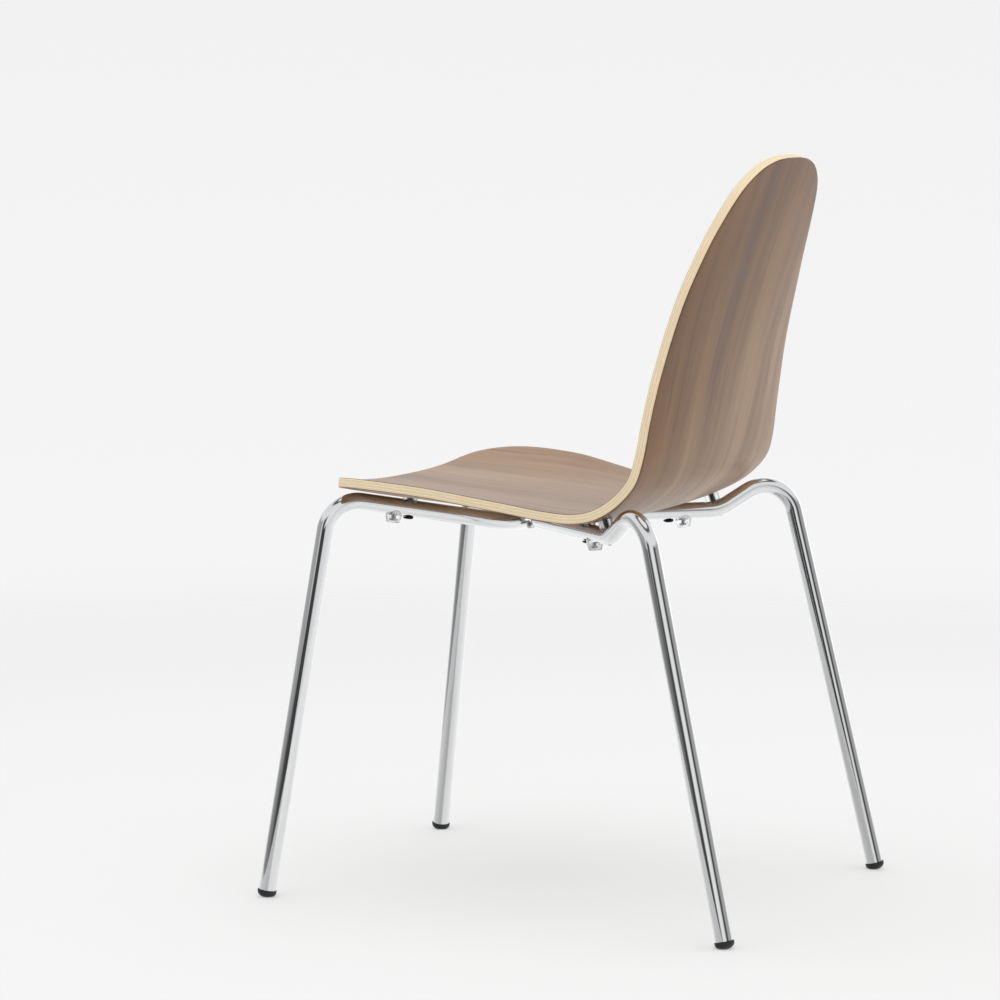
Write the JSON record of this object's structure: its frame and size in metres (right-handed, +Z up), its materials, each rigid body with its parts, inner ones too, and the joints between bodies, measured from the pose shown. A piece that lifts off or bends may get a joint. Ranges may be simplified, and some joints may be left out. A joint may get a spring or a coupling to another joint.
{
  "type": "stacking chair",
  "caption": "Four-legged stacking chair: moulded plywood seat and back in one shell on two bent chromed steel tubes, with black glides and clear stacking bumpers.",
  "frame": {"origin": "centre of the bounding box on the floor, midway between the front and rear feet", "axes": "+Z up, -Y is the way the sitter faces, +X is the sitter's left"},
  "size_m": [0.4726, 0.5703, 0.8182],
  "materials": {
    "chrome_tube": "mirror polished chrome plate",
    "walnut_face": "satin lacquered walnut veneer",
    "walnut_back": "satin lacquered walnut veneer",
    "birch_ply": "lacquered pale plywood edge with thin darker glue lines",
    "black_glide": "satin black moulded plastic",
    "clear_plastic": "clear moulded plastic",
    "black_screw": "black oxide steel",
    "zinc_steel": "zinc plated steel",
    "weld": "plated weld bead"
  },
  "bodies": {
    "root": {"front_leg_tube": "chrome_tube", "rear_leg_tube": "chrome_tube", "weld_bead_top": "weld", "weld_bead_bottom": "weld", "face_veneer": "walnut_face", "plywood_core": "birch_ply", "back_veneer": "walnut_back", "mount_screw_front_left": "black_screw", "tee_nut_front_left": "zinc_steel", "clear_spacer_front_left": "clear_plastic", "mount_screw_front_right": "black_screw", "tee_nut_front_right": "zinc_steel", "clear_spacer_front_right": "clear_plastic", "mount_screw_rear_left": "black_screw", "tee_nut_rear_left": "zinc_steel", "clear_spacer_rear_left": "clear_plastic", "mount_screw_rear_right": "black_screw", "tee_nut_rear_right": "zinc_steel", "clear_spacer_rear_right": "clear_plastic", "mount_screw_standoff_left": "black_screw", "tee_nut_standoff_left": "zinc_steel", "clear_spacer_standoff_left": "clear_plastic", "mount_screw_standoff_right": "black_screw", "tee_nut_standoff_right": "zinc_steel", "clear_spacer_standoff_right": "clear_plastic", "stacking_bumper_front_left": "clear_plastic", "bumper_screw_front_left": "zinc_steel", "stacking_bumper_front_right": "clear_plastic", "bumper_screw_front_right": "zinc_steel", "stacking_bumper_rear_left": "clear_plastic", "bumper_screw_rear_left": "zinc_steel", "stacking_bumper_rear_right": "clear_plastic", "bumper_screw_rear_right": "zinc_steel", "front_left_glide": "black_glide", "front_right_glide": "black_glide", "rear_left_glide": "black_glide", "rear_right_glide": "black_glide"}
  },
  "joints": []
}
